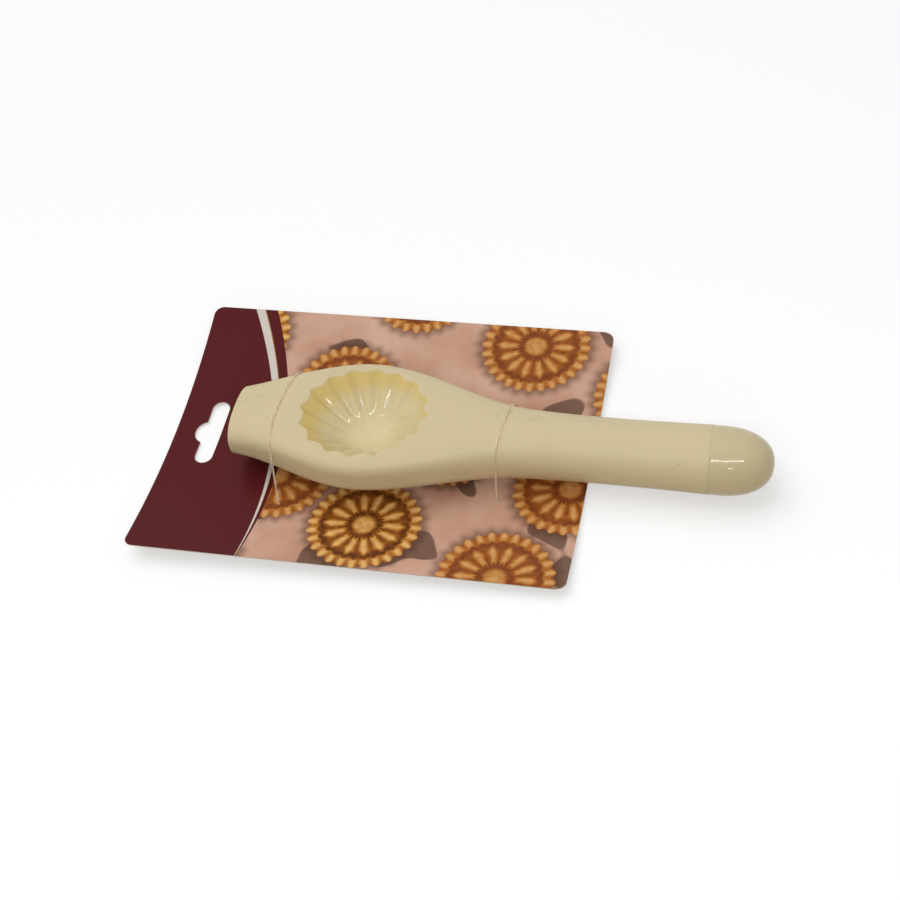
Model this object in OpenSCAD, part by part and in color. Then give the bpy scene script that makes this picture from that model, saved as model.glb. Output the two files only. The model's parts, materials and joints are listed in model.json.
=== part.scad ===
// Hand mold for filled cookies, tied to the card that it hangs on.
// Frame: +X along the mold towards its cap, +Y across the card, +Z up out of the card's printed face.
// The origin is the middle of the footprint, at the surface that the part lies on.

/* [Mold outline] */
// Length of the moulded body, from the nose's end face to the cap's seam
body_len = 187.6; // [178:0.1:200]
// Width of the oval nose
nose_w = 29.6; // [24:0.1:32]
// Height of the nose above the axis
nose_top = 9.8; // [7:0.1:12]
// Depth of the nose below the axis
nose_back = 7.5; // [6:0.1:10]
// Squareness of the nose, where 2 is an ellipse
nose_power = 2.5; // [2:0.1:3.5]
// Radius of the edge round the nose's end face
nose_edge_r = 0.9; // [0.5:0.1:3]
// How fast the outline opens behind the nose, in mm per mm on each side
nose_flare = 0.1; // [0.05:0.01:0.4]
// Greatest width of the head
head_w = 55.3; // [54:0.1:64]
// Distance of the widest place from the nose's end face
head_at = 52.8; // [48:0.1:58]
// Width of the neck, where the head has run out into the handle
neck_w = 26.9; // [25:0.1:28]
// Distance of the neck from the nose's end face
neck_at = 117.3; // [110:0.1:126]
// Diameter of the handle's waist
waist_d = 25.2; // [22:0.1:26]
// Distance of the waist from the nose's end face
waist_at = 154.3; // [142:0.1:160]
// Diameter of the handle at the cap's seam
grip_end_d = 26.1; // [24:0.1:28]

/* [Head section] */
// Distance from the nose's end face at which the head's flat top begins
top_from = 26; // [20:0.5:28]
// Height of the head's flat top above the axis
head_top = 12.5; // [11:0.1:14]
// Depth of the head's rounded back below the axis
head_back = 9.6; // [8.5:0.1:13]
// Squareness of the head's upper half, where 2 is an ellipse
top_power = 5.5; // [3:0.1:7]
// Squareness of the head's lower half, where 2 is an ellipse
back_power = 2.3; // [2:0.1:3.5]
// Wall of the hollow moulding
wall = 2.2; // [1.2:0.1:2.6]

/* [Cavity] */
// Number of flutes round the cavity
flutes = 16; // [8:1:24]
// Distance of the cavity's centre from the nose's end face
cavity_at = 54; // [50:0.1:58]
// Length of the cavity over the points of its rim
cavity_l = 51.8; // [46:0.1:54]
// Width of the cavity over the points of its rim
cavity_w = 46.4; // [40:0.1:47.5]
// Depth of the cavity below the head's flat top
cavity_depth = 16.5; // [12:0.1:17]
// Depth of the scallops in the rim
scallop = 1.9; // [0.5:0.1:3]
// Share of the cavity's radius at which its floor turns up into its wall
floor_corner = 0.4; // [0.3:0.01:0.6]
// Roundness of that turn, as a share of the cavity's radius
floor_round = 0.3; // [0.1:0.01:0.5]
// Share of the cavity's radius that stays smooth in the middle of its floor
floor_share = 0.2; // [0.1:0.05:0.5]
// Share of the cavity's radius from which the flutes have their full depth
flute_full = 0.7; // [0.6:0.05:1]

/* [End cap] */
// Length of the cap outside the handle
cap_len = 22.9; // [20:0.1:30]
// Length of the cap's domed end
dome_len = 19.7; // [12:0.1:22]
// Fullness of the dome, where 2 is an ellipse
dome_power = 2.25; // [2:0.05:3]
// Wall of the cap
cap_wall = 2.2; // [1.2:0.1:3]
// Length of the plug inside the handle
plug_len = 14; // [8:0.5:20]
// Wall of the handle round the plug's bore
bore_wall = 2.4; // [1.6:0.1:3]
// Play all round between the plug and the handle's bore
plug_clearance = 0.15; // [0.05:0.05:0.4]
// Room left in the bore beyond the plug's end
bore_spare = 1; // [0.5:0.1:3]

/* [Card] */
// Length of the card along the mold
card_len = 173; // [150:1:190]
// Width of the card across the mold
card_w = 126; // [110:1:140]
// Thickness of the card
card_t = 0.5; // [0.3:0.1:1]
// Radius of the card's corners
card_corner_r = 4; // [1:0.5:10]
// Rise of the bowed card at its hanging edge, half its width away from the mold's axis
bow_hang = 7.4; // [0:0.1:12]
// The same rise at its far edge
bow_far = 4.3; // [0:0.1:12]
// Distance of the nose's end face from the card's hanging edge
nose_in = 32.2; // [27:0.1:45]
// Distance of the nose's middle from the card's middle line
mold_offset = -2.9; // [-20:0.1:20]
// Angle by which the card lies askew under the mold
card_turn = 0.8; // [-3:0.1:3]
// Gap between the mold and the card that it lies on
seat_gap = 0.3; // [0.1:0.1:0.6]

/* [Hang slot] */
// Length of the hang slot across the card
slot_len = 32; // [28:0.5:36]
// Width of the hang slot's two arms
slot_arm_w = 7.5; // [5:0.1:8]
// Radius of the hang slot's round middle
slot_mid_r = 5.6; // [5:0.1:7]
// Distance of the slot's arms from the card's hanging edge
slot_in = 15.9; // [12:0.1:22]
// Distance of the slot's round middle from the line of its arms
slot_rise = 1.9; // [1:0.1:4]

/* [Ties] */
// Diameter of the clear filament
tie_d = 0.8; // [0.6:0.1:1.6]
// Gap between the filament and the mold that it runs over
tie_gap = 0.1; // [0.05:0.05:0.4]
// Distance from the nose's end face at which the nose tie crosses the mold's middle
nose_tie_at = 19.5; // [15:0.1:24]
// Distance across the mold between the nose tie's two holes
nose_tie_span = 61.4; // [56:0.1:68]
// Angle by which the nose tie runs askew over the mold
nose_tie_turn = 3; // [-10:0.1:10]
// How far the nose tie's holes lie behind its crossing, where it has slid to the narrow nose
nose_tie_lean = 5; // [0:0.1:8]
// Distance from the nose's end face at which the handle tie crosses the mold's middle
handle_tie_at = 109.9; // [98:0.1:126]
// Distance across the mold between the handle tie's two holes
handle_tie_span = 37.8; // [36:0.1:48]
// Angle by which the handle tie runs askew over the mold
handle_tie_turn = 6; // [-10:0.1:10]
// How far the handle tie's holes lie behind its crossing
handle_tie_lean = 0; // [0:0.1:8]
// Play all round between the filament and its hole in the card
tie_hole_clearance = 0.2; // [0.1:0.05:0.5]
// Length of the cross bar at each end of a tie
bar_len = 8; // [5:0.5:12]
// Diameter of the cross bar
bar_d = 1; // [0.8:0.1:2]
// Gap between the cross bar and the card's back
bar_gap = 0.1; // [0.05:0.05:0.4]

/* [Hidden] */
// Smoothness of the true round surfaces
$fn = 96;
// Points round a section of the outer skin and of the hollow, and steps along each
skin_sides = 48;
hollow_sides = 32;
nose_steps = 4;
skin_steps = 44;
hollow_steps = 20;
// Points on each flute and rings up the cavity
flute_points = 6;
cavity_rings = 10;
// Points round the cavity's shell under the head
shell_sides = 40;
// Steps of a turned profile's curves
turn_steps = 10;
// Sides of a filament and angle between the points of its run over the mold
tie_sides = 8;
tie_step = 5;
// Lowest angle on the mold's side that a filament may still touch
tie_low = 220;
// Steps across the bowed card
bow_steps = 24;
// How far a cutter stands past the face that it cuts
past = 1;
// How far the handle's hole is drawn in from the hollow that it runs on from
draw_in = 0.15;
// Slopes of the outline at the neck and at the cap's seam
neck_slope = -0.06;
seam_slope = 0.02;
// Slopes of the nose's top and of its back at its end face
nose_rise = 0.12;
nose_fall = -0.01;
// How much shallower the neck is than it is wide, on each side
neck_lift = 0.95;
// How fast the head's squareness sets in behind the nose, and its share and slope at the neck
head_onset = 1.4;
neck_share = 0.06;
neck_fade = -0.004;

bore_r = grip_end_d / 2 - bore_wall;
bore_from = body_len - plug_len - bore_spare;
hollow_r = waist_d / 2 - wall;
plug_r = bore_r - plug_clearance;
tie_hole_d = tie_d + 2 * tie_hole_clearance;
nose_tie_spec = [nose_tie_at, nose_tie_span, nose_tie_turn, nose_tie_lean];
handle_tie_spec = [handle_tie_at, handle_tie_span, handle_tie_turn, handle_tie_lean];

// Stations along the mold: place, value, slope. Smooth cubics join them.
width_line = [
    [0, nose_w / 2, nose_flare],
    [head_at, head_w / 2, 0],
    [neck_at, neck_w / 2, neck_slope],
    [waist_at, waist_d / 2, 0],
    [body_len, grip_end_d / 2, seam_slope]
];
// Share of the head's squareness: none at the nose and at the waist, all at the widest place
head_share_line = [
    [0, 0, head_onset / head_at],
    [head_at, 1, 0],
    [neck_at, neck_share, neck_fade],
    [waist_at, 0, 0],
    [body_len, 0, 0]
];
// Heights of the mold's top and depths of its back, about its axis
top_line = [
    [0, nose_top, nose_rise],
    [top_from, head_top, 0],
    [waist_at, waist_d / 2, 0],
    [body_len, grip_end_d / 2, seam_slope]
];
back_line = [
    [0, nose_back, nose_fall],
    [head_at, head_back, 0],
    [neck_at, neck_w / 2 - neck_lift, 0],
    [waist_at, waist_d / 2, 0],
    [body_len, grip_end_d / 2, seam_slope]
];

// Cubic through two stations with their slopes, and the line of such cubics
function cubic(a, b, x) =
    let (h = b[0] - a[0], t = (x - a[0]) / h)
    (2 * t^3 - 3 * t^2 + 1) * a[1] + (t^3 - 2 * t^2 + t) * h * a[2]
    + (3 * t^2 - 2 * t^3) * b[1] + (t^3 - t^2) * h * b[2];
function along(line, x, i = 0) =
    (i == len(line) - 2 || x <= line[i + 1][0])
        ? cubic(line[i], line[i + 1], x)
        : along(line, x, i + 1);
function mix(a, b, t) = a + (b - a) * t;
function smooth(t) = let (c = min(max(t, 0), 1)) c * c * (3 - 2 * c);
function sign_pow(v, e) = sign(v) * pow(abs(v), e);

function half_width(s) = along(width_line, s);
function head_share(s) = along(head_share_line, s);
function above(s) = along(top_line, s);
function below(s) = along(back_line, s);

// Place of a tie along the mold, from its crossing, at y across the mold
function tie_x(spec, y) = tan(spec[2]) * y + spec[3] * (2 * y / spec[1])^2;

// The card is bowed round the mold that is tied to it: straight along the mold, a parabola across it
function card_rise(s, y) = mix(bow_hang, bow_far, (s + nose_in) / card_len) * (2 * y / card_w)^2;
// Places of the ties' holes in the card, as [distance from the nose's end face, place across the mold]
tie_holes = [
    for (spec = [nose_tie_spec, handle_tie_spec], side = [-0.5, 0.5])
        let (y = side * spec[1])
        [spec[0] + tie_x(spec, y), y]
];
// The part lies on the lowest of the cross bars, or on the card's middle
card_z = max(0, bar_gap + bar_d - min([for (h = tie_holes) card_rise(h[0], h[1])]));

// The mold lies on the lowest place that it has over the card
seat_r = max(nose_back, waist_d / 2, head_back, half_width(card_len - nose_in));
axis_z = card_z + card_t + seat_gap + seat_r;

// The card's middle from the nose's middle, and half the room that the turned card takes up along the mold
card_mid = [card_len / 2 - nose_in, -mold_offset];
card_mid_x = card_mid[0] * cos(card_turn) - card_mid[1] * sin(card_turn);
card_mid_y = card_mid[0] * sin(card_turn) + card_mid[1] * cos(card_turn);
card_reach = (card_len / 2 - card_corner_r) * cos(card_turn)
    + (card_w / 2 - card_corner_r) * abs(sin(card_turn)) + card_corner_r;
// The nose's place about the middle of the footprint
nose_x = (card_reach - card_mid_x - body_len - cap_len) / 2;
axis_y = -card_mid_y;

// A point at angle a of the mold's section at s, as [y, z] about its axis: a superellipse with its own
// power above and below, grown outwards by grow
function section_point(s, a, grow) =
    let (
        upper = sin(a) > 0,
        power = mix(s < head_at ? nose_power : 2, upper ? top_power : back_power, head_share(s)),
        high = upper ? above(s) : below(s)
    )
    [
        (half_width(s) + grow) * sign_pow(cos(a), 2 / power),
        (high + grow) * sign_pow(sin(a), 2 / power)
    ];
// A whole section as points in space, placed at x
function ring(x, s, sides, grow) = [
    for (i = [0 : sides - 1])
        let (p = section_point(s, 360 * i / sides, grow))
        [x, p[0], p[1]]
];

// Rings of equal count, skinned with triangles and closed flat at both ends
module skin(rings) {
    n = len(rings[0]);
    last = (len(rings) - 1) * n;
    sides = [
        for (j = [0 : len(rings) - 2], i = [0 : n - 1])
            let (p = j * n + i, q = j * n + (i + 1) % n)
            each [[p, p + n, q], [q, p + n, q + n]]
    ];
    ends = [[for (i = [0 : n - 1]) i], [for (i = [n - 1 : -1 : 0]) last + i]];
    polyhedron([for (r = rings) each r], concat(sides, ends));
}

// A profile of [radius, place] points turned about the mold's axis
module turned(profile) {
    rotate([0, 90, 0])
        rotate_extrude()
            polygon(profile);
}

// The lofted outside, from the nose's rounded edge to the cap's seam
module outer_loft() {
    edge = [
        for (i = [0 : nose_steps - 1])
            let (a = 90 * i / nose_steps, s = nose_edge_r * (1 - cos(a)))
            ring(s, s, skin_sides, -nose_edge_r * (1 - sin(a)))
    ];
    run = [
        for (i = [0 : skin_steps])
            let (s = mix(nose_edge_r, body_len, i / skin_steps))
            ring(s, s, skin_sides, 0)
    ];
    skin(concat(edge, run));
}

// The bowl's height over a share t of its radius: a level floor that turns up into a straight wall,
// and how far that lies below the rim, as a share of the bowl's depth
function bowl_line(t) = t - floor_corner + norm([t - floor_corner, floor_round]);
function bowl_drop(t) = (bowl_line(1) - bowl_line(t)) / (bowl_line(1) - bowl_line(0));

// One ring of the fluted cavity: an oval with pointed flutes that fade out towards the floor
function flute_ring(t, z) = [
    for (i = [0 : flutes * flute_points - 1])
        let (
            a = 360 * i / (flutes * flute_points),
            fade = smooth((t - floor_share) / (flute_full - floor_share)),
            inward = scallop * fade * abs(sin(flutes / 2 * a)),
            l = cavity_l / 2 * t - inward,
            w = cavity_w / 2 * t - inward
        )
        [l * cos(a), w * sin(a), z]
];

// The space of the cavity, open past the head's top
module cavity() {
    bowl = [
        for (j = [1 : cavity_rings])
            let (t = j / cavity_rings)
            flute_ring(t, head_top - cavity_depth * bowl_drop(t))
    ];
    translate([cavity_at, 0, 0])
        skin(concat(bowl, [flute_ring(1, head_top + past)]));
}

// The smooth outside of the cavity's bowl, as it hangs in the hollow head
module bowl_shell() {
    rings = [
        for (j = [1 : cavity_rings])
            let (
                t = j / cavity_rings,
                l = cavity_l / 2 * t + wall,
                w = cavity_w / 2 * t + wall
            )
            [
                for (i = [0 : shell_sides - 1])
                    let (a = 360 * i / shell_sides)
                    [l * cos(a), w * sin(a), head_top - (cavity_depth + wall) * bowl_drop(t)]
            ]
    ];
    translate([cavity_at, 0, 0])
        skin(rings);
}

// The hollow inside the moulding, down to the handle's waist
module head_hollow() {
    difference() {
        skin([
            for (i = [0 : hollow_steps])
                let (s = mix(wall, waist_at, i / hollow_steps))
                ring(s, s, hollow_sides, -wall)
        ]);
        bowl_shell();
    }
}

// A round hole along the handle
module handle_hole(from, to, r) {
    translate([from, 0, 0])
        rotate([0, 90, 0])
            cylinder(r = r, h = to - from);
}

module on_card() {
    translate([nose_x, axis_y, axis_z])
        children();
}

module mold_body() {
    color("#cdbf9a")
        on_card()
            difference() {
                outer_loft();
                cavity();
                head_hollow();
                handle_hole(waist_at - past, bore_from + past, hollow_r - draw_in);
                handle_hole(bore_from, body_len + past, bore_r);
            }
}

module end_cap() {
    dome_from = cap_len - dome_len;
    inner_r = plug_r - cap_wall;
    full = 2 / dome_power;
    outside = [
        for (i = [0 : turn_steps])
            let (a = 90 * i / turn_steps)
            [grip_end_d / 2 * pow(cos(a), full), dome_from + dome_len * pow(sin(a), full)]
    ];
    inside = [
        for (i = [turn_steps : -1 : 0])
            let (a = 90 * i / turn_steps)
            [inner_r * pow(cos(a), full), dome_from + (dome_len - cap_wall) * pow(sin(a), full)]
    ];
    mouth = [[inner_r, -plug_len], [plug_r, -plug_len], [plug_r, 0], [grip_end_d / 2, 0]];
    color("#c5b791")
        on_card()
            translate([body_len, 0, 0])
                turned(concat(mouth, outside, inside));
}

// The card's outline with round corners, from its hanging edge at x = 0
module card_outline() {
    inset = card_corner_r;
    translate([inset, -card_w / 2])
        square([card_len - 2 * inset, card_w]);
    translate([0, inset - card_w / 2])
        square([card_len, card_w - 2 * inset]);
    for (x = [inset, card_len - inset], y = [-1, 1])
        translate([x, y * (card_w / 2 - inset)])
            circle(r = inset);
}

// The hang slot: two straight arms with round ends and a round middle towards the hanging edge
module hang_slot() {
    arm = slot_len / 2 - slot_arm_w / 2;
    translate([slot_in, 0]) {
        translate([-slot_arm_w / 2, -arm])
            square([slot_arm_w, 2 * arm]);
        for (y = [-arm, arm])
            translate([0, y])
                circle(d = slot_arm_w);
        translate([-slot_rise, 0])
            circle(r = slot_mid_r);
    }
}

// The flat cut of the card as it lies under the mold, with its slot and the ties' holes
module card_cut() {
    difference() {
        rotate(card_turn)
            translate([-nose_in, -mold_offset])
                difference() {
                    card_outline();
                    hang_slot();
                }
        for (hole = tie_holes)
            translate(hole)
                circle(d = tie_hole_d);
    }
}

// A bowed sheet of the card's thickness, larger than the card on all sides
module bowed_sheet() {
    half = card_w / 2 + abs(mold_offset) + card_len * abs(sin(card_turn)) + past;
    under = [for (i = [0 : bow_steps]) half * (2 * i / bow_steps - 1)];
    skin([
        for (s = [card_mid_x - card_reach - past, card_mid_x + card_reach + past])
            concat(
                [for (i = [0 : bow_steps]) [s, under[i], card_rise(s, under[i])]],
                [for (i = [bow_steps : -1 : 0]) [s, under[i], card_rise(s, under[i]) + card_t]]
            )
    ]);
}

module backing_card() {
    tall = card_t + 2 * (past + max(bow_hang, bow_far));
    color("#58232a")
        translate([nose_x, axis_y, card_z])
            intersection() {
                bowed_sheet();
                translate([0, 0, -past])
                    linear_extrude(tall)
                        card_cut();
            }
}

// Half the run of a tie as points about its crossing of the mold's axis: over the mold from its top to the
// point where a straight line to the hole just touches it, then down through the card to the cross bar
function half_run(spec, side) =
    let (
        grow = tie_gap + tie_d / 2,
        over = [
            for (a = [90 : tie_step : tie_low])
                let (
                    angle = side < 0 ? a : 180 - a,
                    guess = section_point(spec[0], angle, grow),
                    shift = tie_x(spec, guess[0]),
                    p = section_point(spec[0] + shift, angle, grow)
                )
                [shift, p[0], p[1]]
        ],
        y = side * spec[1] / 2,
        shift = tie_x(spec, y),
        under = card_z + card_rise(spec[0] + shift, y) - axis_z,
        hole = [shift, y, under + card_t + tie_d / 2],
        lift = [for (p = over) atan2(p[2] - hole[2], side * (hole[1] - p[1]))],
        leave = search(max(lift), lift)[0]
    )
    concat([for (i = [0 : leave]) over[i]], [hole, [shift, y, under - bar_gap - bar_d / 2]]);

// A round filament along points that run across the mold
module filament(path) {
    last = len(path) - 1;
    r = tie_d / 2;
    skin([
        for (i = [0 : last])
            let (
                step = path[min(i + 1, last)] - path[max(i - 1, 0)],
                ahead = [step[1], step[2]] / norm([step[1], step[2]])
            )
            [
                for (k = [0 : tie_sides - 1])
                    let (a = 360 * k / tie_sides)
                    path[i] + r * [cos(a), sin(a) * ahead[1], -sin(a) * ahead[0]]
            ]
    ]);
}

// A clear elastic tie over the mold, with a cross bar behind the card at each end
module tie(spec) {
    near = half_run(spec, -1);
    far = half_run(spec, 1);
    color("#e9e6df", 0.5)
        on_card()
            translate([spec[0], 0, 0]) {
                filament(concat([for (i = [len(near) - 1 : -1 : 1]) near[i]], far));
                for (run = [near, far])
                    translate(run[len(run) - 1])
                        rotate([0, 90, 0])
                            cylinder(d = bar_d, h = bar_len, center = true);
            }
}

module nose_tie() {
    tie(nose_tie_spec);
}

module handle_tie() {
    tie(handle_tie_spec);
}

mold_body();
end_cap();
backing_card();
nose_tie();
handle_tie();
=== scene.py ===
import json

import bpy
import numpy as np
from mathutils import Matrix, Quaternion, Vector


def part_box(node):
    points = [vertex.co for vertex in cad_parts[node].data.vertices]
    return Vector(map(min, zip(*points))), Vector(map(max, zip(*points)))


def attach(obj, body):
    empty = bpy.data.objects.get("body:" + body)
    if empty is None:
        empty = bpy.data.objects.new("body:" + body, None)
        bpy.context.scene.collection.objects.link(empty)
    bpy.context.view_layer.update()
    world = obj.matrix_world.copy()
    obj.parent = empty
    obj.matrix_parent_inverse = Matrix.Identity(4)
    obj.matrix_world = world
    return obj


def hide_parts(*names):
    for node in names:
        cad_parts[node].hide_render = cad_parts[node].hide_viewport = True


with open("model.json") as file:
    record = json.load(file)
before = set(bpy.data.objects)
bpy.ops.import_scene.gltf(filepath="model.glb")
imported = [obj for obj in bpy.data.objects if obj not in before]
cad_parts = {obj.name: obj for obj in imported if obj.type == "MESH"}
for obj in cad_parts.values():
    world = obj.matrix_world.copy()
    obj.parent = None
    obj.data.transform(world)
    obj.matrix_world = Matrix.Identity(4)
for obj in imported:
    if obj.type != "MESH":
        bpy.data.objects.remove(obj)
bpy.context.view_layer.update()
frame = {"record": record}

# Mold body
# One hollow injection moulding in ivory polypropylene: an oval nose cut off square, a swollen head with
# a fluted cookie cavity in its flat top, and a round handle. The mould's satin finish covers the outside,
# and the cavity is polished so that the dough lets go. All its sizes are in mm, from the nose's end face.
MM = 0.001
nose_face = next(m for m in frame["record"]["mounts"] if m["name"] == "nose_face")
nose_place = np.array(nose_face["pos_m"])
body_low, body_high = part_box("mold_body")
body_len = (body_high.x - body_low.x) / MM
head_w = (body_high.y - body_low.y) / MM

# The nose: an oval with a rounded edge, and the slopes at which its half width, its top and its back start
nose_w = 29.6
nose_top = 9.8
nose_back = 7.5
nose_power = 2.5
nose_edge_r = 0.9
nose_flare = 0.1
nose_rise = 0.12
nose_fall = -0.01

# The head: widest at head_at, level on top from top_from. head_onset is how fast its shape takes over
head_at = 52.8
top_from = 26
head_top = 12.5
head_back = 9.6
top_power = 5.5
back_power = 2.3
head_onset = 1.4

# The neck keeps a small share of the head's shape, which fades out into the round handle and its bore
neck_w = 26.9
neck_at = 117.3
neck_slope = -0.06
neck_lift = 0.95
neck_share = 0.06
neck_fade = -0.004
waist_d = 25.2
waist_at = 154.3
grip_end_d = 26.1
seam_slope = 0.02
seam_edge_r = 0.06
bore_wall = 2.4
bore_depth = 15

# The cavity: an oval bowl whose flutes begin at floor_share of its reach and are full at flute_full
cavity_at = 54
cavity_l = 51.8
cavity_w = 46.4
cavity_depth = 16.5
flutes = 16
scallop = 1.9
floor_share = 0.2
flute_full = 0.7
floor_corner = 0.4
floor_round = 0.3
rim_out = 0.2
rim_drop = 0.4
crease = 0.18
crease_growth = 0.8

# Columns of faces round the mold, and the block of its top from which the cavity's rows start
sides = 192
block_margin = 2.4
block_from = cavity_at - cavity_l / 2 - block_margin
block_to = cavity_at + cavity_l / 2 + block_margin
block_steps = sides // 4
block_side = sides // 8

width_line = [
    [0, nose_w / 2, nose_flare],
    [head_at, head_w / 2, 0],
    [neck_at, neck_w / 2, neck_slope],
    [waist_at, waist_d / 2, 0],
    [body_len, grip_end_d / 2, seam_slope],
]
share_line = [
    [0, 0, head_onset / head_at],
    [head_at, 1, 0],
    [neck_at, neck_share, neck_fade],
    [waist_at, 0, 0],
    [body_len, 0, 0],
]
top_line = [
    [0, nose_top, nose_rise],
    [top_from, head_top, 0],
    [waist_at, waist_d / 2, 0],
    [body_len, grip_end_d / 2, seam_slope],
]
back_line = [
    [0, nose_back, nose_fall],
    [head_at, head_back, 0],
    [neck_at, neck_w / 2 - neck_lift, 0],
    [waist_at, waist_d / 2, 0],
    [body_len, grip_end_d / 2, seam_slope],
]


def along(stations, s):
    """Value at s of the line through [place, value, slope] stations, a cubic between each two of them."""
    place, value, slope = np.array(stations, float).T
    i = np.clip(np.searchsorted(place, s) - 1, 0, len(place) - 2)
    h = place[i + 1] - place[i]
    t = (s - place[i]) / h
    start = (2 * t**3 - 3 * t**2 + 1) * value[i] + (t**3 - 2 * t**2 + t) * h * slope[i]
    return start + (3 * t**2 - 2 * t**3) * value[i + 1] + (t**3 - t**2) * h * slope[i + 1]


def section_shape(s, upper):
    """Height above or below the axis and squareness of the section at s: the oval nose's or the round
    handle's, which gives way to the head's flat top and rounded back by the head's share at s."""
    plain = np.where(s < head_at, nose_power, 2)
    power = plain + (np.where(upper, top_power, back_power) - plain) * along(share_line, s)
    return np.where(upper, along(top_line, s), along(back_line, s)), power


def section(s, angle, inset):
    """Point of the section at s in the direction angle, drawn in by inset: a point of an ellipse, pushed
    out along its ray by (|cos|^p + |sin|^p)^(-1/p), which makes it a superellipse of squareness p."""
    high, power = section_shape(s, np.sin(angle) > 0)
    push = (np.abs(np.cos(angle)) ** power + np.abs(np.sin(angle)) ** power) ** (-1 / power)
    y = (along(width_line, s) - inset) * push * np.cos(angle)
    z = (high - inset) * push * np.sin(angle)
    return np.stack(np.broadcast_arrays(s, y, z), -1)


def top_height(s, y):
    """Height of the head's top over the axis at s and y: high * (1 - |y / half width|^p)^(1/p)."""
    high, power = section_shape(s, True)
    across = np.clip(np.abs(y / along(width_line, s)), 0, 1)
    return high * (1 - across**power) ** (1 / power)


def quads(grid):
    """Four-cornered faces between the neighbouring rows and columns of a grid of vertex numbers."""
    corners = [grid[:-1, :-1], grid[:-1, 1:], grid[1:, 1:], grid[1:, :-1]]
    return np.stack(corners, -1).reshape(-1, 4)


def closed(ring):
    """Rows of vertex numbers that come round to their first column again."""
    return np.concatenate([ring, ring[..., :1]], -1)


def fan(ring, pole, ends):
    """Triangles from a closed ring of vertex numbers to the one vertex that ends or starts its rows."""
    ring = closed(ring)
    pole = np.full(len(ring) - 1, pole)
    return np.stack([ring[:-1], ring[1:], pole] if ends else [pole, ring[1:], ring[:-1]], -1)


def smooth(t):
    """Runs from 0 to 1 as t does, level at both ends: 3 t^2 - 2 t^3."""
    t = np.clip(t, 0, 1)
    return t * t * (3 - 2 * t)


def corner_line(reach):
    """A level floor that turns up into a straight wall, rounded where the two meet: a hyperbola."""
    return reach - floor_corner + np.sqrt((reach - floor_corner) ** 2 + floor_round**2)


floor_line, rim_line = corner_line(0), corner_line(1)


def bowl_point(reach, angle):
    """Point of the cavity at a share reach of the way from the floor's middle to the rim: an oval, drawn
    in by flutes |sin| round it that soften and fade out towards the floor, as high as the corner line."""
    soft = crease + crease_growth * (1 - reach)
    wave = np.sqrt(np.sin(angle * flutes / 2) ** 2 + soft**2) - soft
    fade = smooth((reach - floor_share) / (flute_full - floor_share))
    inward = scallop * fade * wave / (np.sqrt(1 + soft**2) - soft)
    x = cavity_at + (cavity_l / 2 * reach - inward) * np.cos(angle)
    y = (cavity_w / 2 * reach - inward) * np.sin(angle)
    drop = (rim_line - corner_line(reach)) / (rim_line - floor_line)
    return np.stack(np.broadcast_arrays(x, y, head_top - cavity_depth * drop), -1)


def reach_at(z):
    """Share of the cavity's reach at which its wall comes to the height z: the corner line's inverse."""
    line = rim_line - (head_top - z) / cavity_depth * (rim_line - floor_line)
    return floor_corner + (line - floor_round**2 / line) / 2


def new_piece(name, points, faces):
    """A smooth mesh object from points in metres and groups of faces."""
    mesh = bpy.data.meshes.new(name)
    mesh.from_pydata(np.asarray(points).tolist(), [], [f for group in faces for f in group.tolist()])
    mesh.polygons.foreach_set("use_smooth", np.ones(len(mesh.polygons), bool))
    mesh.update()
    made = bpy.data.objects.new(name, mesh)
    bpy.context.scene.collection.objects.link(made)
    return made


# Rows from the nose's end face over its edge, along the mold, round the seam's edge and into the bore
face_ring = 4.0
edge_ring = 0.3
nose_turn = np.linspace(0, np.pi / 2, 9)
face_inset = np.array([face_ring, nose_edge_r + edge_ring])
seam_turn = np.linspace(0, np.pi / 2, 5)
bore_r = grip_end_d / 2 - bore_wall
end_r = np.linspace(grip_end_d / 2 - seam_edge_r, bore_r, 4)[1:]
bore_run = np.linspace(body_len, body_len - bore_depth, 5)[1:]
seam_from = body_len - seam_edge_r
run = np.concatenate([
    np.linspace(nose_edge_r, block_from, 16)[1:],
    np.linspace(block_from, block_to, block_steps + 1)[1:],
    np.linspace(block_to, seam_from, 46)[1:-1],
])
row_place = np.concatenate([
    0 * face_inset,
    nose_edge_r * (1 - np.cos(nose_turn)),
    run,
    seam_from + seam_edge_r * np.sin(seam_turn),
    np.full(len(end_r), body_len),
    bore_run,
])
row_inset = np.concatenate([
    face_inset,
    nose_edge_r * (1 - np.sin(nose_turn)),
    0 * run,
    seam_edge_r * (1 - np.cos(seam_turn)),
    grip_end_d / 2 - end_r,
    np.full(len(bore_run), grip_end_d / 2 - bore_r),
])
turn = np.arange(sides) * 2 * np.pi / sides
skin = section(row_place[:, None], turn[None], row_inset[:, None])
skin_grid = np.arange(skin[..., 0].size).reshape(skin.shape[:2])

# The block of the top that the cavity takes up, and the loop of vertices round it from the handle's side
first = int(np.argmin(np.abs(row_place - block_from)))
last = first + block_steps
low, high = block_side, 3 * block_side
middle = sides // 4
loop = np.concatenate([
    skin_grid[last, middle:low:-1],
    skin_grid[last:first:-1, low],
    skin_grid[first, low:high],
    skin_grid[first:last, high],
    skin_grid[last, high:middle:-1],
])
loop_point = skin.reshape(-1, 3)[loop]

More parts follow.
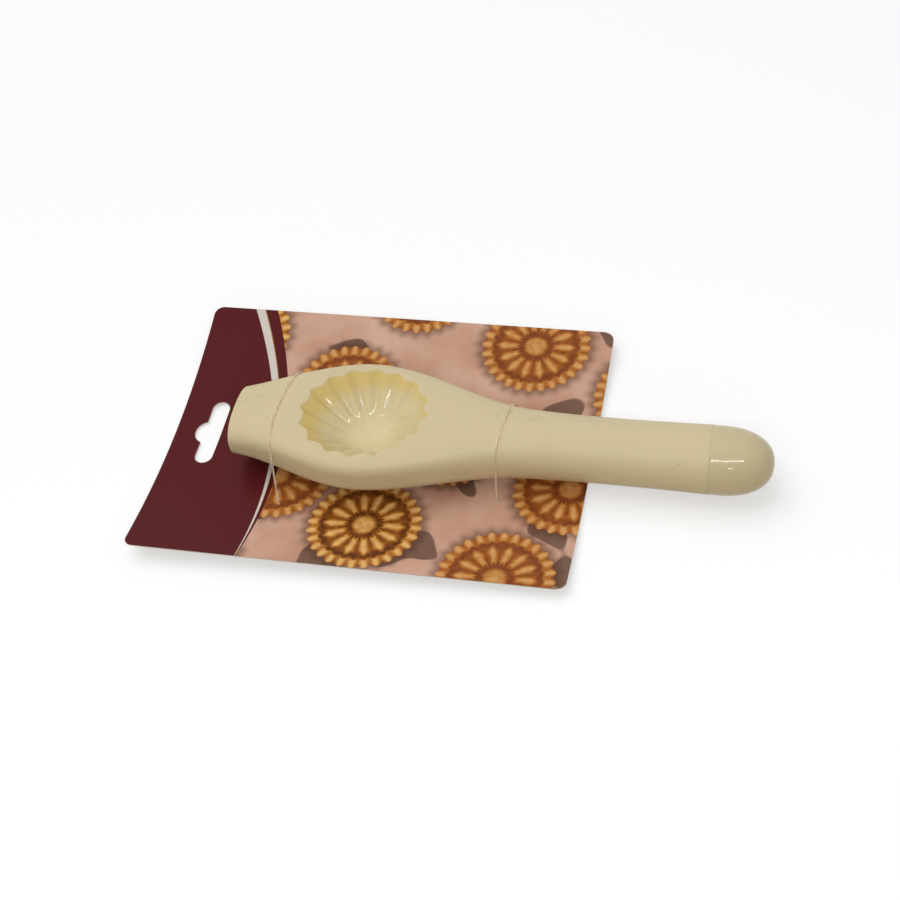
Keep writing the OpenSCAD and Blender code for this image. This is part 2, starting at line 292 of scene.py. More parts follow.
# Rows from that loop over the flat top to the rim's rounded edge, then down the bowl to its middle
rough_rim = bowl_point(1.0, turn)
rim = bowl_point(reach_at(top_height(rough_rim[:, 0], rough_rim[:, 1])), turn)
outward = np.stack([np.cos(turn) * cavity_l, np.sin(turn) * cavity_w], -1)
outward /= np.linalg.norm(outward, axis=1)[:, None]
land = rim[:, :2] + rim_out * outward
share = np.linspace(0, 1, 7)[1:, None, None]
flat = loop_point[None, :, :2] * (1 - share) + land * share
flat = np.concatenate([flat, top_height(flat[..., 0], flat[..., 1])[..., None]], -1)
wall_reach = reach_at(rim[:, 2] - rim_drop)
wall_edge = bowl_point(wall_reach, turn)
share = np.linspace(0, 1, 8)[1:, None, None]
lip = (1 - share) ** 2 * flat[-1] + 2 * share * (1 - share) * rim + share**2 * wall_edge
bowl = bowl_point(wall_reach * np.linspace(1, 0, 49)[1:-1, None], turn[None])
patch = np.concatenate([flat, lip, bowl])
patch_grid = skin.shape[0] * sides + np.arange(patch[..., 0].size).reshape(patch.shape[:2])
pole = patch_grid[-1, -1] + 1
poles = [[0, 0, 0], [body_len - bore_depth, 0, 0], [cavity_at, 0, head_top - cavity_depth]]

outside = quads(closed(skin_grid)).reshape(len(skin_grid) - 1, sides, 4)
kept = np.ones(outside.shape[:2], bool)
kept[first:last, low:high] = False
bowl_from = len(flat) + len(lip) - 1
top_rows = quads(closed(np.concatenate([loop[None], patch_grid[:bowl_from + 1]])))
bowl_rows = quads(closed(patch_grid[bowl_from:]))
mold_faces = [
    outside[kept],
    fan(skin_grid[0], pole, False),
    fan(skin_grid[-1], pole + 1, True),
    top_rows,
    bowl_rows,
    fan(patch_grid[-1], pole + 2, True),
]
mold_points = np.concatenate([skin.reshape(-1, 3), patch.reshape(-1, 3), poles])
mold = new_piece("mold_shell", nose_place + mold_points * MM, mold_faces)
# The bowl's faces come last, and they carry the second material
polished = np.zeros(len(mold.data.polygons), int)
polished[-len(bowl_rows) - sides:] = 1
mold.data.polygons.foreach_set("material_index", polished)


def linear(hex_colour):
    """Linear RGBA of an sRGB colour written as #rrggbb."""
    srgb = np.array([int(hex_colour[i:i + 2], 16) for i in (1, 3, 5)]) / 255
    value = np.where(srgb <= 0.04045, srgb / 12.92, ((srgb + 0.055) / 1.055) ** 2.4)
    return (*value.tolist(), 1.0)


def add_node(tree, kind, inputs, out=0, stops=(), **settings):
    """Adds a shader node with its settings and its colour ramp's stops, sets each of its inputs to a value
    or links it to a socket, and returns the output that is asked for."""
    made = tree.nodes.new("ShaderNode" + kind)
    for name, value in settings.items():
        setattr(made, name, value)
    for key, value in inputs.items() if isinstance(inputs, dict) else enumerate(inputs):
        if isinstance(value, bpy.types.NodeSocket):
            tree.links.new(value, made.inputs[key])
        else:
            made.inputs[key].default_value = value
    for i, (at, colour) in enumerate(stops):
        stop = made.color_ramp.elements[i] if i < 2 else made.color_ramp.elements.new(at)
        stop.position, stop.color = at, colour
    return made.outputs[out] if made.outputs else made


def new_material(name):
    """An empty node material and its node tree."""
    made = bpy.data.materials.new(name)
    made.use_nodes = True
    made.node_tree.nodes.clear()
    return made, made.node_tree


def ivory_plastic(name, colour, deeper, roughness, rough_play, grain_mm, grain_depth, depth_glow, painted_wall_shade=None):
    """Ivory polypropylene: an opaque, slightly waxy plastic. Its colour clouds a little where the melt
    flowed, handling leaves faint grey scuffs, and the mould's grain breaks up its gloss. When a painted
    shade is given, its colour turns amber between two heights, measured along a lean. This is painted
    shade and warm bounced light, as deep in a hollow."""
    made, tree = new_material(name)
    place = add_node(tree, "TexCoord", [], "Object")
    cloud_mm, scuff_mm, smear_mm = 22, 7, 10
    scuff_stretch = (0.4, 1, 1)
    scuff_width = 0.024
    scuff_strength = 0.36
    grain_height = 0.05
    cloud = add_node(tree, "TexNoise", {"Vector": place, "Scale": 1 / (cloud_mm * MM), "Detail": 3})
    paint = add_node(
        tree, "Mix", {"Factor": cloud, "A": linear(colour), "B": linear(deeper)}, "Result", data_type="RGBA")
    # Painted shade: amber between two heights along a lean, for shade and warm bounced light in a hollow
    if painted_wall_shade:
        amber_shade_colour, lean, low, high = painted_wall_shade
        height = add_node(tree, "VectorMath", [place, lean], "Value", operation="DOT_PRODUCT")
        share = add_node(tree, "MapRange", [height, low, high, 0, 1], interpolation_type="SMOOTHSTEP")
        paint = add_node(
            tree, "Mix", {"Factor": share, "A": paint, "B": linear(amber_shade_colour)}, "Result", data_type="RGBA")
    drawn = add_node(tree, "Mapping", {"Vector": place, "Scale": scuff_stretch})
    scuff = add_node(tree, "TexNoise", {"Vector": drawn, "Scale": 1 / (scuff_mm * MM), "Detail": 3})
    patch = add_node(tree, "TexNoise", {"Vector": drawn, "Scale": 1 / (smear_mm * MM), "Detail": 1})
    where = add_node(tree, "MapRange", [patch, 0.56, 0.7, 0, scuff_strength], interpolation_type="SMOOTHSTEP")
    off = add_node(tree, "Math", [scuff, 0.5], operation="SUBTRACT")
    apart = add_node(tree, "Math", [off], operation="ABSOLUTE")
    hairline = add_node(tree, "MapRange", [apart, 0, scuff_width, 1, 0])
    scuffed = add_node(tree, "Math", [where, hairline], operation="MULTIPLY")
    paint = add_node(
        tree, "Mix", {"Factor": scuffed, "A": paint, "B": linear("#a89a7c")}, "Result", data_type="RGBA")
    gloss = add_node(tree, "MapRange", [scuff, 0.3, 0.7, roughness - rough_play, roughness + rough_play])
    grain = add_node(tree, "TexNoise", {"Vector": place, "Scale": 1 / (grain_mm * MM), "Detail": 2})
    bump = add_node(tree, "Bump", {"Height": grain, "Strength": grain_depth, "Distance": grain_height * MM})
    shader = add_node(
        tree, "BsdfPrincipled",
        {"Base Color": paint, "Roughness": gloss, "Normal": bump, "IOR": 1.49,
         "Subsurface Weight": depth_glow, "Subsurface Radius": (1.0, 0.7, 0.3), "Subsurface Scale": 3 * MM})
    add_node(tree, "OutputMaterial", [shader])
    return made


# Painted shade in the cavity: an amber tint that stands for shade and warm bounced light on the bowl's
# wall. It is full at the rim, gone at half the depth, and reaches lower on the nose's far side.
shade_lean = (-0.12, 0.1, 1.0)
shade_top = float(np.dot(shade_lean, nose_place + np.array([cavity_at, 0, head_top]) * MM))
shade_foot = shade_top - 0.5 * cavity_depth * MM
satin_ivory = ivory_plastic(
    "satin_moulded_ivory_polypropylene", "#cebf99", "#cabb93", roughness=0.46, rough_play=0.05,
    grain_mm=0.6, grain_depth=0.35, depth_glow=0.2)
cavity_ivory = ivory_plastic(
    "polished_ivory_polypropylene_cavity", "#d6c9a1", "#d2c499", roughness=0.09, rough_play=0.02,
    grain_mm=2.5, grain_depth=0.1, depth_glow=0.25, painted_wall_shade=("#d6bc72", shade_lean, shade_foot, shade_top))
mold.data.materials.append(satin_ivory)
mold.data.materials.append(cavity_ivory)
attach(mold, "root")
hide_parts("mold_body")

# End cap
# A separate moulding in the same ivory plastic, polished all over: a domed plug whose skirt is pressed into
# the handle's bore. It meets the handle in a fine seam between two rounded edges.
cap_low, cap_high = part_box("end_cap")
cap_len = (cap_high.x - body_high.x) / MM
plug_len = (body_high.x - cap_low.x) / MM
dome_len = 19.7
dome_power = 2.25
cap_wall = 2.2
plug_clearance = 0.15
plug_r = bore_r - plug_clearance
inner_r = plug_r - cap_wall


def lathe(places, radii, around):
    """Rings of a profile of places along X and radii, turned about X through the angles around."""
    return np.stack(np.broadcast_arrays(
        places[:, None], radii[:, None] * np.cos(around), radii[:, None] * np.sin(around)), -1)


def skin_over(rings, start, end):
    """Points and faces of a skin over rings of points that runs together in a start and an end point."""
    grid = np.arange(rings[..., 0].size).reshape(rings.shape[:2])
    pole = grid[-1, -1] + 1
    points = np.concatenate([rings.reshape(-1, 3), [start, end]])
    return points, [quads(closed(grid)), fan(grid[0], pole, False), fan(grid[-1], pole + 1, True)]


dome_turn = np.linspace(0, np.pi / 2, 33)[:-1]
full = 2 / dome_power
dome_from = cap_len - dome_len
cap_edge = seam_edge_r * np.sin(seam_turn)
cap_edge_in = seam_edge_r * (1 - np.cos(seam_turn))[::-1]
cap_places = np.concatenate([
    dome_from + (dome_len - cap_wall) * np.sin(dome_turn[::-4]) ** full,
    [-plug_len, -plug_len, 0],
    cap_edge,
    np.linspace(seam_edge_r, dome_from, 4)[1:-1],
    dome_from + dome_len * np.sin(dome_turn) ** full,
]) + body_len
cap_radii = np.concatenate([
    inner_r * np.cos(dome_turn[::-4]) ** full,
    [inner_r, plug_r, plug_r],
    grip_end_d / 2 - cap_edge_in,
    np.full(2, grip_end_d / 2),
    grip_end_d / 2 * np.cos(dome_turn) ** full,
])
cap_tip = body_len + cap_len
cap_points, cap_faces = skin_over(
    lathe(cap_places, cap_radii, turn), [cap_tip - cap_wall, 0, 0], [cap_tip, 0, 0])
cap = new_piece("cap_dome", nose_place + cap_points * MM, cap_faces)
polished_ivory = ivory_plastic(
    "polished_moulded_ivory_polypropylene", "#c8b991", "#c4b58a", roughness=0.11, rough_play=0.02,
    grain_mm=2.5, grain_depth=0.1, depth_glow=0.2)
cap.data.materials.append(polished_ivory)
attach(cap, "root")
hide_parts("end_cap")

# Backing card
# Half a millimetre of white paperboard, printed on its face and laminated with a gloss film, with a hang
# slot for a shop's peg and four punched holes for the ties, which draw it into a bow round the mold.
card_len = 173
card_w = 126
card_t = 0.5
card_corner_r = 4
card_turn = np.radians(0.8)
bow_hang = 7.4
bow_far = 4.3
nose_in = 32.2
mold_offset = -2.9
slot_len = 32
slot_arm_w = 7.5
slot_mid_r = 5.6
slot_in = 15.9
slot_rise = 1.9
card_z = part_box("backing_card")[0].z / MM


def card_rise(s, y):
    """Rise of the bowed card at s along the mold and y from its axis: a parabola across the mold that is
    deepest at the hanging edge and eases off in a straight line towards the far edge."""
    share = (s + nose_in) / card_len
    return (bow_hang + (bow_far - bow_hang) * share) * (2 * y / card_w) ** 2


def ray_to_box(angle, x0, x1, y0, y1, r):
    """Distance from the origin along each ray to a box x0..x1, y0..y1 with corners of radius r. Each ray
    takes the nearer of the straight sides, and the corner's circle where it passes outside its centre."""
    c, s = np.cos(angle), np.sin(angle)
    x_side = np.where(c > 0, x1, x0)
    y_side = np.where(s > 0, y1, y0)
    tiny = 1e-9
    to_x_side = np.abs(x_side) / np.maximum(np.abs(c), tiny)
    to_y_side = np.abs(y_side) / np.maximum(np.abs(s), tiny)
    straight = np.minimum(to_x_side, to_y_side)
    cx, cy = x_side - r * np.sign(x_side), y_side - r * np.sign(y_side)
    beyond = (np.abs(straight * c) > np.abs(cx)) & (np.abs(straight * s) > np.abs(cy))
    along_ray = cx * c + cy * s
    root = np.sqrt(np.maximum(r * r - (cx * cx + cy * cy - along_ray**2), 0))
    return np.where(beyond, along_ray + root, straight)


# Rays from the slot's middle, closer together where the card's corners turn
arm = slot_len / 2
sliver = 0.001
arm_end_r = slot_arm_w / 2 - sliver
corner_fan = np.radians(np.linspace(-4, 4, 17))
corner_rays = [
    np.arctan2(y, x) + corner_fan
    for x in (-slot_in, card_len - slot_in) for y in (-card_w / 2, card_w / 2)
]
even_rays = np.radians(np.arange(0, 360, 1.5))
ray = np.mod(np.concatenate([even_rays, *corner_rays]), 2 * np.pi)
ray = np.unique(np.round(ray, 6))
card_rim = ray_to_box(ray, -slot_in, card_len - slot_in, -card_w / 2, card_w / 2, card_corner_r)
slot_arm = ray_to_box(ray, -slot_arm_w / 2, slot_arm_w / 2, -arm, arm, arm_end_r)
slot_round = -slot_rise * np.cos(ray) + np.sqrt(slot_mid_r**2 - (slot_rise * np.sin(ray)) ** 2)
slot_rim = np.maximum(slot_arm, slot_round)
row_crowding = 1.3
reach = np.linspace(0, 1, 61)[:, None] ** row_crowding
spread = slot_rim + (card_rim - slot_rim) * reach
flat_x = spread * np.cos(ray) + slot_in - nose_in
flat_y = spread * np.sin(ray) - mold_offset
card_s = flat_x * np.cos(card_turn) - flat_y * np.sin(card_turn)
card_y = flat_x * np.sin(card_turn) + flat_y * np.cos(card_turn)
card_under = np.stack([card_s, card_y, card_rise(card_s, card_y)], -1)
card_over = card_under + [0, 0, card_t]
card_rows = np.concatenate([card_over, card_under[::-1]])
card_grid = np.arange(card_rows[..., 0].size).reshape(card_rows.shape[:2])
card_ring = np.concatenate([card_grid, card_grid[:1]])
card_faces = quads(closed(card_ring))[:, ::-1]
card_origin = np.array([nose_place[0], nose_place[1], card_z * MM])
card = new_piece("printed_card", card_origin + card_rows.reshape(-1, 3) * MM, [card_faces])

# Each tie's crossing of the mold, the span between its holes, its slant and its lean towards the handle
tie_laws = {
    "nose_tie": {"at": 19.5, "span": 61.4, "slant": np.radians(3), "lean": 5.0},
    "handle_tie": {"at": 109.9, "span": 37.8, "slant": np.radians(6), "lean": 0.0},
}
hole_r = 0.6
hole_sides = 24


def tie_place(law, y):
    """Place of a tie along the mold at y across it: its crossing, a slant, and a lean that grows as y^2."""
    return law["at"] + np.tan(law["slant"]) * y + law["lean"] * (2 * y / law["span"]) ** 2


# Round punches, from well below the card to well above its bow, that cut the four holes
bore_turn = np.arange(hole_sides) * 2 * np.pi / hole_sides
hole_y = np.array([side * law["span"] / 2 for law in tie_laws.values() for side in (-1, 1)])
hole_s = np.array([tie_place(law, side * law["span"] / 2) for law in tie_laws.values() for side in (-1, 1)])
punch_z = np.array([-3.0, 12.0])
punch = np.stack(np.broadcast_arrays(
    hole_s[:, None, None] + hole_r * np.cos(bore_turn),
    hole_y[:, None, None] + hole_r * np.sin(bore_turn),
    punch_z[None, :, None]), -1)
punch_grid = np.arange(punch[..., 0].size).reshape(punch.shape[:3])
punch_faces = [quads(closed(g)) for g in punch_grid]
punch_ends = [g for pair in punch_grid for g in (pair[:1, ::-1], pair[1:])]
punches = new_piece("punches", card_origin + punch.reshape(-1, 3) * MM, punch_faces + punch_ends)
punching = card.modifiers.new("punched_holes", "BOOLEAN")
punching.object = punches
punching.solver = "EXACT"
bpy.context.view_layer.update()
punched = bpy.data.meshes.new_from_object(card.evaluated_get(bpy.context.evaluated_depsgraph_get()))
card.modifiers.clear()
card.data = punched
card.data.name = "printed_card"
bpy.data.objects.remove(punches)

normals = np.zeros(len(card.data.polygons) * 3)
card.data.polygons.foreach_get("normal", normals)
facing = normals.reshape(-1, 3)[:, 2]
card.data.polygons.foreach_set("use_smooth", np.ones(len(facing), bool))
card.data.set_sharp_from_angle(angle=np.radians(40))

# The print: its panel and stripe along the hanging edge, and the rosettes' spacing, turn and disorder
panel_w = 42
panel_slant = 0.22
panel_curve = 0.0025
band_w = 5.2
band_taper = 0.075
rosette_gap = 54
rosette_r = 22
rosette_shift = (9, 4, 0)
rosette_turn = 0.42
rosette_disorder = 0.16
petals = 14
cocoa_mm = 30


def printed_laminate():
    """Offset print under a gloss film: a plum panel by the slot, with a curved stripe in pale grey and
    gold, and on a peach ground baked-gold rosettes, each with a fluted rim, a ring of petals and a button,
    with cocoa dusted between them. The film lies in slow waves, and its gloss is a little uneven."""
    made, tree = new_material("gloss_laminated_print")
    place = add_node(tree, "TexCoord", [], "Object")
    # Millimetres from the middle of the hanging edge, in the plane of the print
    hang_x = -nose_in * np.cos(card_turn) + mold_offset * np.sin(card_turn)
    hang_y = -nose_in * np.sin(card_turn) - mold_offset * np.cos(card_turn)
    hang = card_origin + MM * np.array([hang_x, hang_y, 0])
    sheet = add_node(
        tree, "Mapping",
        {"Vector": place, "Location": hang.tolist(), "Rotation": (0, 0, card_turn), "Scale": (MM, MM, MM)},
        vector_type="TEXTURE")
    sheet_x = add_node(tree, "SeparateXYZ", [sheet], "X")
    sheet_y = add_node(tree, "SeparateXYZ", [sheet], "Y")
    crumb_mm, cloud_mm, wave_mm = 2.4, 28, 35
    crumb = add_node(tree, "TexNoise", {"Vector": sheet, "Scale": 1 / crumb_mm, "Detail": 4})
    cloud = add_node(tree, "TexNoise", {"Vector": sheet, "Scale": 1 / cloud_mm, "Detail": 3})

    # The nearest rosette's middle, and the point's angle and distance from it as a share of its radius
    tilted = add_node(
        tree, "Mapping", {"Vector": sheet, "Location": rosette_shift, "Rotation": (0, 0, rosette_turn)})
    cell = {"Vector": tilted, "Scale": 1 / rosette_gap, "Randomness": rosette_disorder}
    middle = add_node(tree, "TexVoronoi", cell, "Position", voronoi_dimensions="2D")
    far = add_node(tree, "TexVoronoi", cell, "Distance", voronoi_dimensions="2D")
    chance = add_node(tree, "TexVoronoi", cell, "Color", voronoi_dimensions="2D")
    arm = add_node(tree, "VectorMath", [tilted, middle], operation="SUBTRACT")
    arm_x = add_node(tree, "SeparateXYZ", [arm], "X")
    arm_y = add_node(tree, "SeparateXYZ", [arm], "Y")
    angle = add_node(tree, "Math", [arm_y, arm_x], operation="ARCTAN2")
    rim_angle = add_node(tree, "Math", [angle, 2.0 * petals], operation="MULTIPLY")
    rim_wave = add_node(tree, "Math", [rim_angle], operation="COSINE")
    petal_angle = add_node(tree, "Math", [angle, 1.0 * petals], operation="MULTIPLY")
    petal_wave = add_node(tree, "Math", [petal_angle], operation="COSINE")
    round_share = add_node(tree, "Math", [far, rosette_gap / rosette_r], operation="MULTIPLY")
    share = add_node(tree, "Math", [rim_wave, -0.025, round_share], operation="MULTIPLY_ADD")

    # Height of the baked relief: red is the band's own height, green how strongly the petals part it,
    # and blue how strongly the rim's flutes do
    bands = add_node(
        tree, "ValToRGB", [share],
        stops=[(0, (0.9, 0, 0, 1)), (1, (0.5, 0, 0.3, 1)), (0.17, (0.75, 0, 0, 1)), (0.23, (0.05, 0, 0, 1)),
               (0.3, (0.05, 0, 0, 1)), (0.37, (0.55, 0.35, 0, 1)), (0.62, (0.6, 0.4, 0, 1)),
               (0.74, (0.05, 0, 0, 1)), (0.78, (0.05, 0, 0, 1)), (0.84, (0.7, 0, 0.3, 1)),
               (0.93, (0.75, 0, 0.3, 1))])
    band = add_node(tree, "SeparateColor", [bands], "Red")
    parted = add_node(tree, "SeparateColor", [bands], "Green")
    fluted = add_node(tree, "SeparateColor", [bands], "Blue")
    with_petals = add_node(tree, "Math", [parted, petal_wave, band], operation="MULTIPLY_ADD")
    with_rim = add_node(tree, "Math", [fluted, rim_wave, with_petals], operation="MULTIPLY_ADD")
    rough_bake = add_node(tree, "MapRange", [crumb, 0, 1, -0.35, 0.35])
    relief = add_node(tree, "Math", [with_rim, rough_bake], operation="ADD")
    crust = add_node(
        tree, "ValToRGB", [relief],
        stops=[(0, linear("#5d3316")), (1, linear("#dcae6c")), (0.3, linear("#8f5420")),
               (0.62, linear("#b97d36"))])
    kind = add_node(tree, "SeparateColor", [chance], "Red")
    redder = add_node(tree, "MapRange", [kind, 0.45, 0.55, 0, 0.3])
    baked = add_node(
        tree, "Mix", {"Factor": redder, "A": crust, "B": linear("#a4532e")}, "Result", data_type="RGBA")

    # The clouded ground, dusted with cocoa in places and shaded under each rosette
    ground = add_node(tree, "ValToRGB", [cloud], stops=[(0.35, linear("#d0a893")), (0.7, linear("#b3846d"))])
    cocoa = add_node(tree, "TexNoise", {"Vector": sheet, "Scale": 1 / cocoa_mm, "Detail": 1})
    dusted = add_node(tree, "MapRange", [cocoa, 0.585, 0.595, 0, 0.85])
    ground = add_node(
        tree, "Mix", {"Factor": dusted, "A": ground, "B": linear("#5f4638")}, "Result", data_type="RGBA")
    under = add_node(tree, "MapRange", [share, 1.22, 0.98, 0, 0.65], interpolation_type="SMOOTHSTEP")
    ground = add_node(
        tree, "Mix", {"Factor": under, "A": ground, "B": linear("#4f2f20")}, "Result", data_type="RGBA")
    in_rosette = add_node(tree, "MapRange", [share, 1.01, 0.985, 0, 1])
    field = add_node(
        tree, "Mix", {"Factor": in_rosette, "A": ground, "B": baked}, "Result", data_type="RGBA")

    # How far the point lies past the panel's curved edge, as a share of the striped band along it
    leaned = add_node(tree, "Math", [sheet_y, panel_slant, sheet_x], operation="MULTIPLY_ADD")
    squared = add_node(tree, "Math", [sheet_y, sheet_y], operation="MULTIPLY")
    curved = add_node(tree, "Math", [squared, panel_curve, leaned], operation="MULTIPLY_ADD")
    past_panel = add_node(tree, "Math", [curved, panel_w], operation="SUBTRACT")
    band_here = add_node(tree, "Math", [sheet_y, band_taper, band_w], operation="MULTIPLY_ADD")
    past_share = add_node(tree, "Math", [past_panel, band_here], operation="DIVIDE")
    across = add_node(tree, "MapRange", [past_share, -0.1, 1, 0, 1])
    plum, pale, gold = linear("#541a1c"), linear("#cfc6be"), linear("#a8893f")
    panel = add_node(
        tree, "ValToRGB", [across],
        stops=[(0.09, plum), (0.97, plum), (0.1, pale), (0.45, pale), (0.46, gold), (0.49, gold),
               (0.5, plum)])
    past_band = add_node(tree, "MapRange", [past_share, 0.98, 1, 0, 1])
    ink = add_node(
        tree, "Mix", {"Factor": past_band, "A": panel, "B": field}, "Result", data_type="RGBA")

    wave = add_node(tree, "TexNoise", {"Vector": sheet, "Scale": 1 / wave_mm, "Detail": 1})
    bump = add_node(tree, "Bump", {"Height": wave, "Strength": 0.3, "Distance": 0.4 * MM})
    haze = add_node(tree, "MapRange", [crumb, 0.3, 0.7, 0.28, 0.36])
    shader = add_node(
        tree, "BsdfPrincipled",
        {"Base Color": ink, "Roughness": haze, "Normal": bump, "IOR": 1.45, "Specular IOR Level": 0.1})
    add_node(tree, "OutputMaterial", [shader])
    return made


def white_board():
    """Uncoated paperboard: matt, off-white, with a faint fibre fleck."""
    made, tree = new_material("uncoated_white_paperboard")
    place = add_node(tree, "TexCoord", [], "Object")
    fibre_mm = 0.8
    fibre = add_node(tree, "TexNoise", {"Vector": place, "Scale": 1 / (fibre_mm * MM), "Detail": 4})
    tone = add_node(
        tree, "Mix", {"Factor": fibre, "A": linear("#d9d4cb"), "B": linear("#c4beb3")}, "Result",
        data_type="RGBA")
    bump = add_node(tree, "Bump", {"Height": fibre, "Strength": 0.3, "Distance": 0.05 * MM})
    shader = add_node(tree, "BsdfPrincipled", {"Base Color": tone, "Roughness": 0.85, "Normal": bump})
    add_node(tree, "OutputMaterial", [shader])
    return made


card.data.materials.clear()
card.data.materials.append(printed_laminate())
card.data.materials.append(white_board())
# The board's edges and back stay white, and only faces that look up carry the print
card.data.polygons.foreach_set("material_index", np.where(facing > 0.5, 0, 1))
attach(card, "root")
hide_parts("backing_card")

# Ties
# Two lengths of clear elastic filament that hold the mold down: each runs over the mold and through two
# holes of the card, and ends behind it in a moulded cross bar that can't slip back.
tie_d = 0.8
tie_gap = 0.1
bar_len = 8
bar_d = 1
bar_gap = 0.1
tie_sides = 16
tie_turn = np.arange(tie_sides) * 2 * np.pi / tie_sides
axis_height = nose_place[2] / MM


def half_run(law, side):
    """Path of a tie from the mold's top to its cross bar on one side: round the section, grown by the
    filament's radius, to the point where the straight line to the hole leaves it highest, then down."""
    clear = tie_gap + tie_d / 2
    angle = np.radians(np.arange(90, 232, 2.0))
    angle = angle if side < 0 else np.pi - angle
    guess = section(np.full_like(angle, law["at"]), angle, -clear)
    over = section(tie_place(law, guess[:, 1]), angle, -clear)
    y = side * law["span"] / 2
    s = tie_place(law, y)
    under = card_z + card_rise(s, y) - axis_height
    hole = np.array([s, y, under + card_t])
    lift = np.arctan2(over[:, 2] - hole[2], side * (hole[1] - over[:, 1]))
    leave = int(np.argmax(lift))
    share = np.linspace(0, 1, 13)[1:, None]
    leg = over[leave] + (hole - over[leave]) * share
    foot = np.array([s, y, under - bar_gap - bar_d / 2])
    through = hole + (foot - hole) * np.linspace(0, 1, 4)[1:, None]
    return np.concatenate([over[:leave + 1], leg, through])


def tube(path, r):
    """Points and faces of a round tube of radius r along a path that never runs along X: each ring lies
    square to the path, turned so that one of its axes leans on X."""
    ahead = np.gradient(path, axis=0)
    ahead /= np.linalg.norm(ahead, axis=1)[:, None]
    level = np.array([1.0, 0, 0]) - ahead * ahead[:, :1]
    level /= np.linalg.norm(level, axis=1)[:, None]
    upright = np.cross(ahead, level)
    rings = path[:, None] + r * (
        np.cos(tie_turn)[:, None] * level[:, None] + np.sin(tie_turn)[:, None] * upright[:, None])
    return skin_over(rings, path[0], path[-1])


def cross_bar(middle):
    """Points and faces of a round bar along X with domed ends, about its middle."""
    dome = np.linspace(0, np.pi / 2, 6)[1:]
    end = bar_len / 2 - bar_d / 2
    places = np.concatenate([-end - bar_d / 2 * np.cos(dome), end + bar_d / 2 * np.cos(dome[::-1])])
    radii = bar_d / 2 * np.concatenate([np.sin(dome), np.sin(dome[::-1])])
    points, faces = skin_over(
        lathe(places, radii, tie_turn), [-bar_len / 2, 0, 0], [bar_len / 2, 0, 0])
    return middle + points, faces


def clear_filament():
    """Clear polyurethane filament: see-through, soft-edged, with a haze that comes and goes along it."""
    made, tree = new_material("clear_polyurethane_filament")
    place = add_node(tree, "TexCoord", [], "Object")
    haze_mm = 6
    cloud = add_node(tree, "TexNoise", {"Vector": place, "Scale": 1 / (haze_mm * MM), "Detail": 1})
    haze = add_node(tree, "MapRange", [cloud, 0.3, 0.7, 0.34, 0.4])
    shader = add_node(
        tree, "BsdfPrincipled",
        {"Base Color": linear("#efe8d4"), "Roughness": haze, "IOR": 1.2, "Specular IOR Level": 0.4,
         "Transmission Weight": 0.75})
    add_node(tree, "OutputMaterial", [shader])
    return made


filament = clear_filament()
for name, law in tie_laws.items():
    near, far = half_run(law, -1), half_run(law, 1)
    path = np.concatenate([near[:0:-1], far])
    solids = [tube(path, tie_d / 2), cross_bar(near[-1]), cross_bar(far[-1])]
    starts = np.cumsum([0] + [len(points) for points, _ in solids])
    tie_points = np.concatenate([points for points, _ in solids])
    tie_faces = [group + start for (_, groups), start in zip(solids, starts) for group in groups]
    tie = new_piece(name + "_filament", nose_place + tie_points * MM, tie_faces)
    tie.data.materials.append(filament)
    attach(tie, "root")
    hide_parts(name)

# Stage
# A plain round white table top under a wide soft lamp overhead, with two small lamps by the camera for the
# highlights. Seen by the camera the table is white with the part's soft shadow, in part by a glow of its
# own, and the light that it throws back on the part is warm.
table_r = 1.6
table_sides = 96
table_turn = np.arange(table_sides) * 2 * np.pi / table_sides
table_edge = table_r * np.stack([np.cos(table_turn), np.sin(table_turn), 0 * table_turn], -1)
table = new_piece("table_top", table_edge, [np.arange(len(table_edge))[None]])
glow_share = 0.45


def seen_rays(tree):
    """1 for rays that show the background itself, straight, in a gloss or through clear stuff, else 0."""
    camera_ray = add_node(tree, "LightPath", [], "Is Camera Ray")
    glossy_ray = add_node(tree, "LightPath", [], "Is Glossy Ray")
    clear_ray = add_node(tree, "LightPath", [], "Is Transmission Ray")
    either = add_node(tree, "Math", [camera_ray, glossy_ray], operation="MAXIMUM")
    return add_node(tree, "Math", [either, clear_ray], operation="MAXIMUM")


table_paint, tree = new_material("white_table_top")
seen = seen_rays(tree)
tone = add_node(
    tree, "Mix", {"Factor": seen, "A": linear("#b9a784"), "B": linear("#ffffff")}, "Result", data_type="RGBA")
matt = add_node(tree, "BsdfDiffuse", {"Color": tone})
glow_part = add_node(tree, "Math", [seen, glow_share], operation="MULTIPLY")
glow = add_node(tree, "Emission", {"Color": linear("#ffffff"), "Strength": 1.0})
mixed = add_node(tree, "MixShader", [glow_part, matt, glow])
add_node(tree, "OutputMaterial", [mixed])
table.data.materials.append(table_paint)

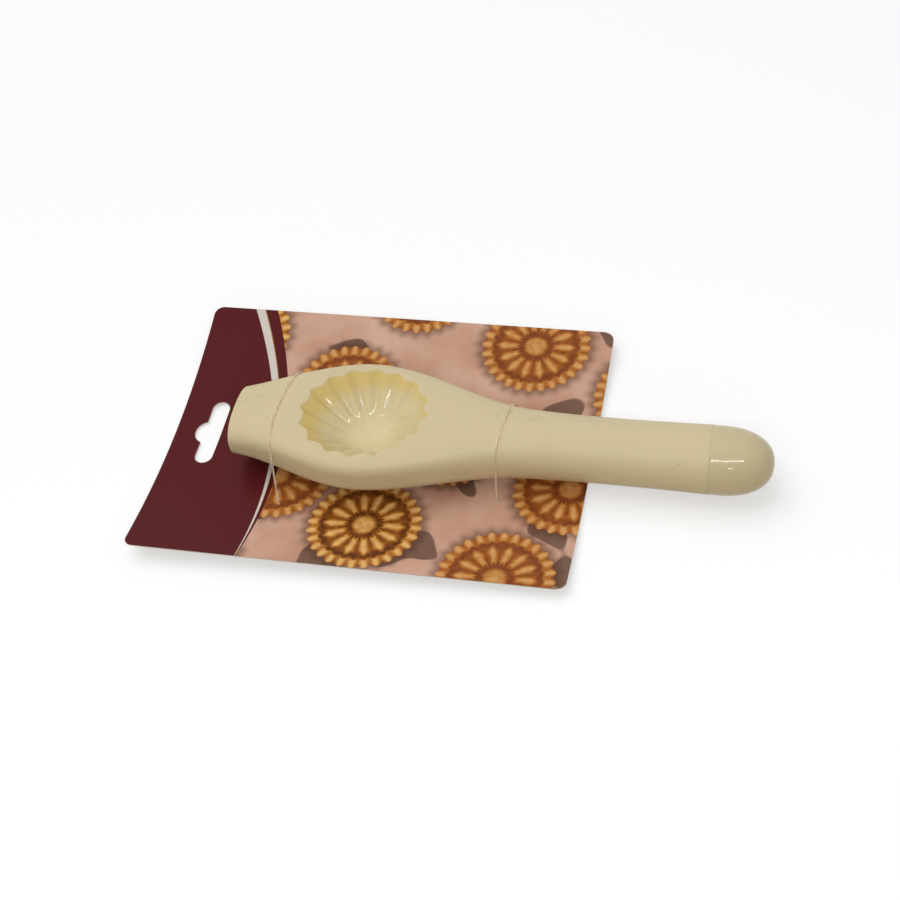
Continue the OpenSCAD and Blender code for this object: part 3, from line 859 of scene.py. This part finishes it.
fill_level = 0.42
world = bpy.data.worlds.new("studio")
bpy.context.scene.world = world
world.use_nodes = True
tree = world.node_tree
tree.nodes.clear()
strength = add_node(tree, "MapRange", [seen_rays(tree), 0, 1, fill_level, 1.0])
sky = add_node(tree, "Background", {"Color": linear("#ffffff"), "Strength": strength})
add_node(tree, "OutputWorld", [sky])


def lamp(name, place, aim, width, depth, power):
    """A rectangular soft lamp at a place in metres, turned to its aim, of that power in watts."""
    light = bpy.data.lights.new(name, "AREA")
    light.shape = "RECTANGLE"
    light.size, light.size_y = width, depth
    light.energy = power
    made = bpy.data.objects.new(name, light)
    made.location = place
    made.rotation_mode = "QUATERNION"
    made.rotation_quaternion = (Vector(aim) - Vector(place)).to_track_quat("-Z", "Y")
    bpy.context.scene.collection.objects.link(made)
    return made


# The point by the part's middle that the lamps and the camera are turned to
aim = Vector((-0.0002, -0.0103, 0.015))
overhead = lamp("overhead_softbox", (-1.2, 0.6, 2.9), aim, width=3.4, depth=3.0, power=59.0)
overhead.visible_glossy = False
lamp("camera_strip", (0.14, -0.52, 0.63), aim, width=0.75, depth=0.045, power=1.7)
lamp("low_spot", (0.218, -0.712, 0.372), aim, width=0.07, depth=0.03, power=0.16)

# Camera
# The photograph's own view of the part: its distance, direction, roll and lens come from the card's edges
# and the mold's outline.
azimuth, elevation, roll = np.radians([22.569, 49.764, -12.728])
distance = 0.61386
lens_mm, sensor_mm = 64.05, 36.0
back = Vector((
    np.sin(azimuth) * np.cos(elevation),
    -np.cos(azimuth) * np.cos(elevation),
    np.sin(elevation),
))
view = bpy.data.cameras.new("photo_view")
view.lens = lens_mm
view.sensor_width = sensor_mm
view.clip_start, view.clip_end = 0.01, 50
camera = bpy.data.objects.new("photo_view", view)
camera.location = aim + back * distance
camera.rotation_mode = "QUATERNION"
camera.rotation_quaternion = (-back).to_track_quat("-Z", "Y") @ Quaternion((0, 0, 1), roll)
bpy.context.scene.collection.objects.link(camera)
bpy.context.scene.camera = camera
bpy.context.scene.view_settings.view_transform = "Standard"
